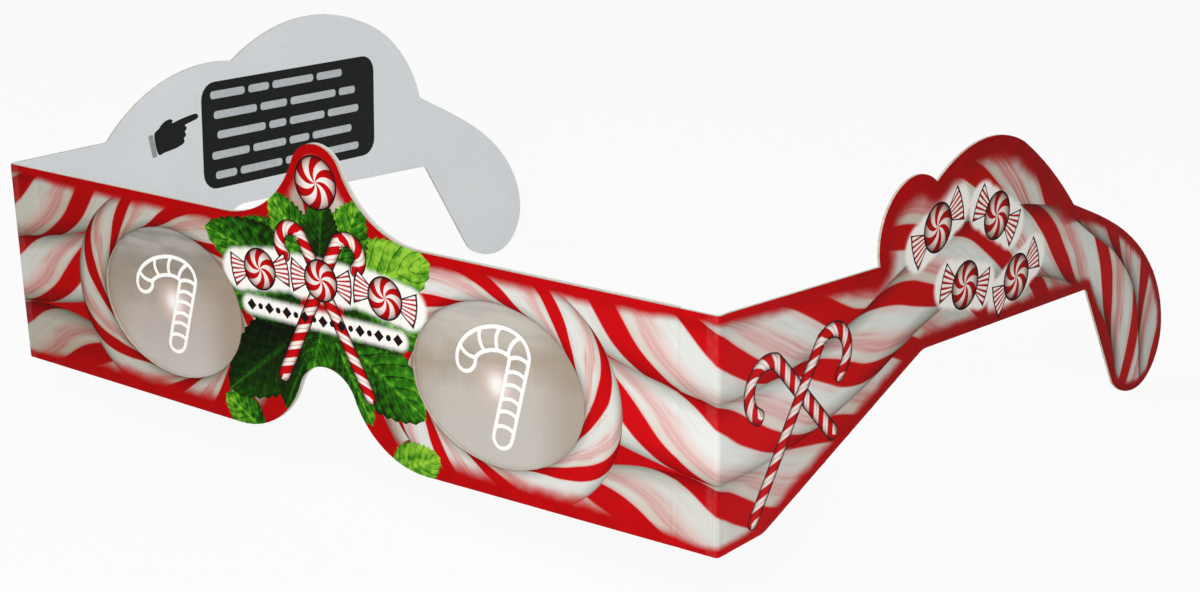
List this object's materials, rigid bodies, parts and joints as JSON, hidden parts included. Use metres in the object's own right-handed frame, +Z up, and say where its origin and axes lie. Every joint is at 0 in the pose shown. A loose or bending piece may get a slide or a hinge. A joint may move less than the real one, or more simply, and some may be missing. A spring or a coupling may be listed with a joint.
{
  "type": "diffraction glasses",
  "caption": "Folding paperboard glasses with an oval diffraction-film window for each eye, a raised bridge, crested temples with ear hooks, and scored fold hinges.",
  "frame": {"origin": "middle of the bridge on the printed front face, level with the centres of the two windows", "axes": "+X from left to right as the printed front is looked at, +Y back along the temples towards the ears, +Z up"},
  "size_m": [0.1512, 0.1303, 0.06],
  "materials": {
    "printed_board": "gloss",
    "inner_board": "matte",
    "glue": "satin",
    "diffraction_film": "gloss"
  },
  "bodies": {
    "front": {"front_panel": "printed_board", "back_panel": "inner_board", "adhesive_layer": "glue", "lens_film_left": "diffraction_film", "lens_film_right": "diffraction_film", "corner_bend_left": "printed_board", "corner_bend_right": "printed_board"},
    "temple_left": {"temple_left": "printed_board"},
    "temple_right": {"temple_right": "printed_board"}
  },
  "joints": [
    {"name": "fold_left", "type": "hinge", "parent": "front", "child": "temple_left", "pos_m": [-0.06805, 0.00195, 0], "axis": [0, 0, -1], "range_deg": [-92, 85], "deforming": ["corner_bend_left"]},
    {"name": "fold_right", "type": "hinge", "parent": "front", "child": "temple_right", "pos_m": [0.06805, 0.00195, 0], "axis": [0, 0, 1], "range_deg": [-85, 95.5], "deforming": ["corner_bend_right"]}
  ]
}
